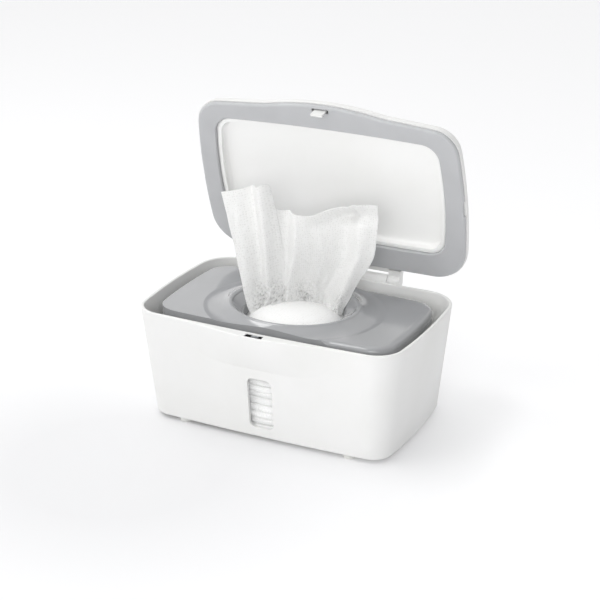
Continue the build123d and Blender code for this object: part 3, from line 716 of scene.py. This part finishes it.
def made_plain(piece):
    """Works the piece's modifiers into a plain mesh."""
    bpy.context.view_layer.update()
    shaped = piece.evaluated_get(bpy.context.evaluated_depsgraph_get())
    mesh = bpy.data.meshes.new_from_object(shaped)
    piece.modifiers.clear()
    piece.data = mesh


stack = bpy.data.objects.new("folded_wipes", folded_pad())
scene.collection.objects.link(stack)
stacking = stack.modifiers.new("stacking", "NODES")
stacking.node_group = stacking_tree(stack_cloth)
stacking_sizes = {"Pads": pad_count, "Pitch": pad_pitch, "Drift": pad_drift}
for item in stacking.node_group.interface.items_tree:
    if item.item_type == "SOCKET" and item.in_out == "INPUT" and item.name in stacking_sizes:
        stacking[item.identifier] = stacking_sizes[item.name]
made_plain(stack)

# The plate presses the pads flat, except under its hole, where the upper ones swell. The folds billow and
# bulge as their sizes above say.
for vertex in stack.data.vertices:
    x, y, z = vertex.co
    up = (z - stack_low) / (stack_high - stack_low)
    around = math.hypot(x, y - ring_centre_y) / dome_reach
    swell = dome_rise * (1 - around**3.4) if around < 1 else 0.0
    edge = max(0.0, abs(y - bin_centre_y) / (pad_depth / 2) - (1 - loose_edge_share)) / loose_edge_share
    middle_height = math.sin(math.pi * min(max(up, 0.0), 1.0))
    sag = noise.noise(Vector((x * 22, y * 3, z * 60))) * sag_depth * edge * middle_height
    billow = noise.noise(Vector((x * 28 + 5, y * 5, z * 75))) * billow_depth * edge
    bulge = window_bulge * edge * math.exp(-((x / window_half_width) ** 2)) if y < bin_centre_y else 0.0
    crumple = noise.noise(Vector((x * 90, y * 40, z * 160 + 9))) * crumple_depth * edge
    wrinkle = noise.noise(Vector((x * 45, y * 45, 3.1))) * dome_wrinkle_depth * max(0.0, 1 - around)
    vertex.co.z = z + swell * max(0.0, up) ** 5 + sag + wrinkle * up**5
    vertex.co.y = y + billow + crumple - bulge
for face in stack.data.polygons:
    face.use_smooth = True
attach(stack, "bin")
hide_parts("wipe_stack")
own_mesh(stack)

# Pulled wipe: the next wipe, drawn up through the hole and left standing. It is one sheet of wet spunlaced
# nonwoven, 150 by 200 mm, half of it still in the stack. It gathers in the hole and fans out above.
wipe_flat = (0.15, 0.105)
wipe_thickness = 0.0004
wipe_columns = 230
wipe_rows = 180
# Each edge runs from the stack to the top: share of the way up, then x and y from the bin's middle, and
# the height over the plate's underside, in mm.
left_edge = [
    (0.00, -33.5, -16.0, 1.0),
    (0.06, -36.0, -15.0, 7.0),
    (0.16, -40.0, -13.0, 17.5),
    (0.34, -45.6, -11.5, 34.5),
    (0.58, -52.6, -9.0, 59.3),
    (0.79, -58.2, -7.0, 79.5),
    (1.00, -64.0, -5.0, 98.0),
]
right_edge = [
    (0.00, 31.0, 18.0, 1.0),
    (0.06, 33.5, 17.8, 8.5),
    (0.16, 38.4, 17.0, 19.0),
    (0.34, 47.5, 15.0, 35.5),
    (0.50, 58.4, 13.0, 53.5),
    (0.68, 62.8, 11.0, 70.5),
    (1.00, 65.2, 8.0, 103.0),
]
edge_foot = left_edge[0][3]
left_rise = left_edge[-1][3] - edge_foot
right_rise = right_edge[-1][3] - edge_foot
# The top edge: share across, then height over the plate's underside.
top_height = [
    (0.00, 98.0),
    (0.11, 101.3),
    (0.23, 105.7),
    (0.315, 107.5),
    (0.335, 89.0),
    (0.43, 87.0),
    (0.58, 86.8),
    (0.66, 91.5),
    (0.74, 94.5),
    (0.79, 96.0),
    (0.86, 102.2),
    (0.92, 103.4),
    (1.00, 103.0),
]
# The line along which the sheet leaves the stack: share across, then how far back and how far up.
foot_depth = [(0.0, 0.0), (0.2, 7.5), (0.45, 13.0), (0.7, 8.5), (1.0, 0.0)]
foot_height = [(0.0, 0.0), (0.2, 3.0), (0.5, 6.0), (0.8, 4.0), (1.0, 0.0)]
foot_fade = 1.6
# Folds: share across at the foot and at the top, half width as a share, and depth in mm at foot and top.
wipe_folds = [
    (0.12, 0.17, 0.050, 4.0, 8.5),
    (0.21, 0.26, 0.045, -3.5, -6.5),
    (0.31, 0.39, 0.055, 1.0, 9.0),
    (0.36, 0.48, 0.035, -4.5, -1.0),
    (0.50, 0.56, 0.060, 3.0, 0.5),
    (0.74, 0.74, 0.120, 3.0, 14.0),
    (0.92, 0.89, 0.060, -3.0, -7.0),
]
# Small gathers take up the rest of the sheet's width: their count, how much of one they stray, and their
# height in mm at foot and top.
gather_count = 11
gather_stray = 0.9
gather_foot = 0.8
gather_top = 0.15
# Where the sheet is crushed against the hole's edge: share across, half width as a share, and height in mm.
crushed_places = [(0.12, 0.09, 2.3), (0.26, 0.07, 2.6), (0.50, 0.12, 2.3), (0.92, 0.05, 0.8)]
# The gathers and crumples fade out by this share of the way up. Coarse and fine crumples take so many times
# the height above, and the hollows between the fine ones get painted shade in their colour.
crush_reach = 0.3
crush_fade = 1.2
crush_coarse = 2.6
crush_fine = 1.1
pit_shade_strength = 1.7
# The top edge right of the middle curls forward over a shallow hollow: where, half widths and depths in mm.
curl_across, curl_half = 0.80, 0.17
hollow_up, hollow_half, hollow_depth = 0.88, 0.055, 8.0
lip_half, lip_reach = 0.05, 6.0
# The whole sheet waves a little: waves for each mm across and up, and their height in mm. Its points stray
# sideways too, and more near the hole.
long_wave, long_wave_height = (0.085, 0.014), 1.3
short_wave, short_wave_height = (0.2, 0.05), 0.4
side_stray, side_stray_near_hole = 0.4, 1.0


def along(points, share):
    """The values at a share of the way along a row of points, smoothly between them."""
    places = [p[0] for p in points]
    for k in range(len(places) - 1):
        if share <= places[k + 1] or k == len(places) - 2:
            span = places[k + 1] - places[k]
            t = min(max((share - places[k]) / span, 0.0), 1.0)
            before = points[max(k - 1, 0)]
            after = points[min(k + 2, len(points) - 1)]
            here, there = points[k], points[k + 1]
            values = []
            for c in range(1, len(here)):
                slope_here = (there[c] - before[c]) / max(there[0] - before[0], 1e-6) * span
                slope_there = (after[c] - here[c]) / max(after[0] - here[0], 1e-6) * span
                values.append(
                    here[c] * (2 * t**3 - 3 * t**2 + 1)
                    + slope_here * (t**3 - 2 * t**2 + t)
                    + there[c] * (3 * t**2 - 2 * t**3)
                    + slope_there * (t**3 - t**2)
                )
            return values


def standing_wipe():
    """The sheet as a grid, with its folds, the crumples near the hole, painted shade in their hollows, and
    its own cloth coordinates.
    """
    places = []
    painted_pit_shade = []
    for row in range(wipe_rows + 1):
        up = row / wipe_rows
        left = along(left_edge, up)
        right = along(right_edge, up)
        for column in range(wipe_columns + 1):
            across = column / wipe_columns
            x = left[0] + across * (right[0] - left[0])
            y = left[1] + across * (right[1] - left[1])
            foot_z = edge_foot + along(foot_height, across)[0]
            y += along(foot_depth, across)[0] * (1 - up) ** foot_fade
            # The edges' own heights hold at the sides, and the top edge's height between them.
            left_share = (left[2] - edge_foot) / left_rise
            right_share = (right[2] - edge_foot) / right_rise
            share = left_share * (1 - across) + right_share * across
            z = foot_z + share * (along(top_height, across)[0] - foot_z)
            for foot_at, top_at, half, foot_deep, top_deep in wipe_folds:
                centre = foot_at + (top_at - foot_at) * up
                reach = math.exp(-(((across - centre) / half) ** 2))
                y += reach * (foot_deep + (top_deep - foot_deep) * up)
            curl = math.exp(-(((across - curl_across) / curl_half) ** 2))
            hollow = math.exp(-(((up - hollow_up) / hollow_half) ** 2))
            lip = math.exp(-(((up - 1.0) / lip_half) ** 2))
            y += curl * (hollow_depth * hollow - lip_reach * lip)
            near_hole = max(0.0, 1 - up / crush_reach) ** crush_fade
            sway = noise.noise(Vector((x * 0.06, z * 0.03, 2.0)))
            gather = math.sin(2 * math.pi * (gather_count * across + gather_stray * sway))
            y += gather * (gather_top + (gather_foot - gather_top) * near_hole)
            y += noise.noise(Vector((x * long_wave[0], z * long_wave[1], 1.7))) * long_wave_height
            y += noise.noise(Vector((x * short_wave[0], z * short_wave[1], 4.2))) * short_wave_height
            # Painted shade: the hollows of the fine crumples near the hole are darkened in the cloth's
            # colour.
            pit_shade = 0.0
            for place, half, depth in crushed_places:
                crush = math.exp(-(((across - place) / half) ** 2)) * near_hole
                y += noise.noise(Vector((x * 0.33, z * 0.26, 8.0))) * depth * crush * crush_coarse
                fine = noise.noise(Vector((x * 1.25, z * 0.7, 3.0)))
                y += fine * depth * crush * crush_fine
                pit_shade += max(0.0, fine) * pit_shade_strength * crush
            stray = side_stray + side_stray_near_hole * near_hole
            x += noise.noise(Vector((x * 0.12, z * 0.09, 9.9))) * stray
            z += plate_low * 1000
            places.append((x / 1000, bin_centre_y + y / 1000, z / 1000))
            painted_pit_shade.append(min(pit_shade, 1.0))
    mesh = bpy.data.meshes.new("pulled_wet_wipe")
    wide = wipe_columns + 1
    quads = []
    for row in range(wipe_rows):
        for column in range(wipe_columns):
            corner = row * wide + column
            quads.append((corner, corner + 1, corner + 1 + wide, corner + wide))
    mesh.from_pydata(places, [], quads)
    mesh.attributes.new("painted_pit_shade", "FLOAT", "POINT").data.foreach_set("value", painted_pit_shade)
    layer = mesh.uv_layers.new(name="cloth")
    for loop in mesh.loops:
        row, column = divmod(loop.vertex_index, wide)
        layer.data[loop.index].uv = (column / wipe_columns * wipe_flat[0], row / wipe_rows * wipe_flat[1])
    for face in mesh.polygons:
        face.use_smooth = True
    return mesh


wipe_cloth = wet_cloth(
    "embossed_wet_nonwoven", "UV", dimple_mm=2.1, dimple_depth_mm=0.22, fibre_mm=0.7, glow=0.25, painted_pit_shade=True
)
pulled = bpy.data.objects.new("pulled_wet_wipe", standing_wipe())
scene.collection.objects.link(pulled)
pulled.data.materials.append(wipe_cloth)
thickness = pulled.modifiers.new("thickness", "SOLIDIFY")
thickness.thickness = wipe_thickness
thickness.offset = 0.0
made_plain(pulled)
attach(pulled, "weight_plate")
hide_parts("pulled_wipe")
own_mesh(pulled)
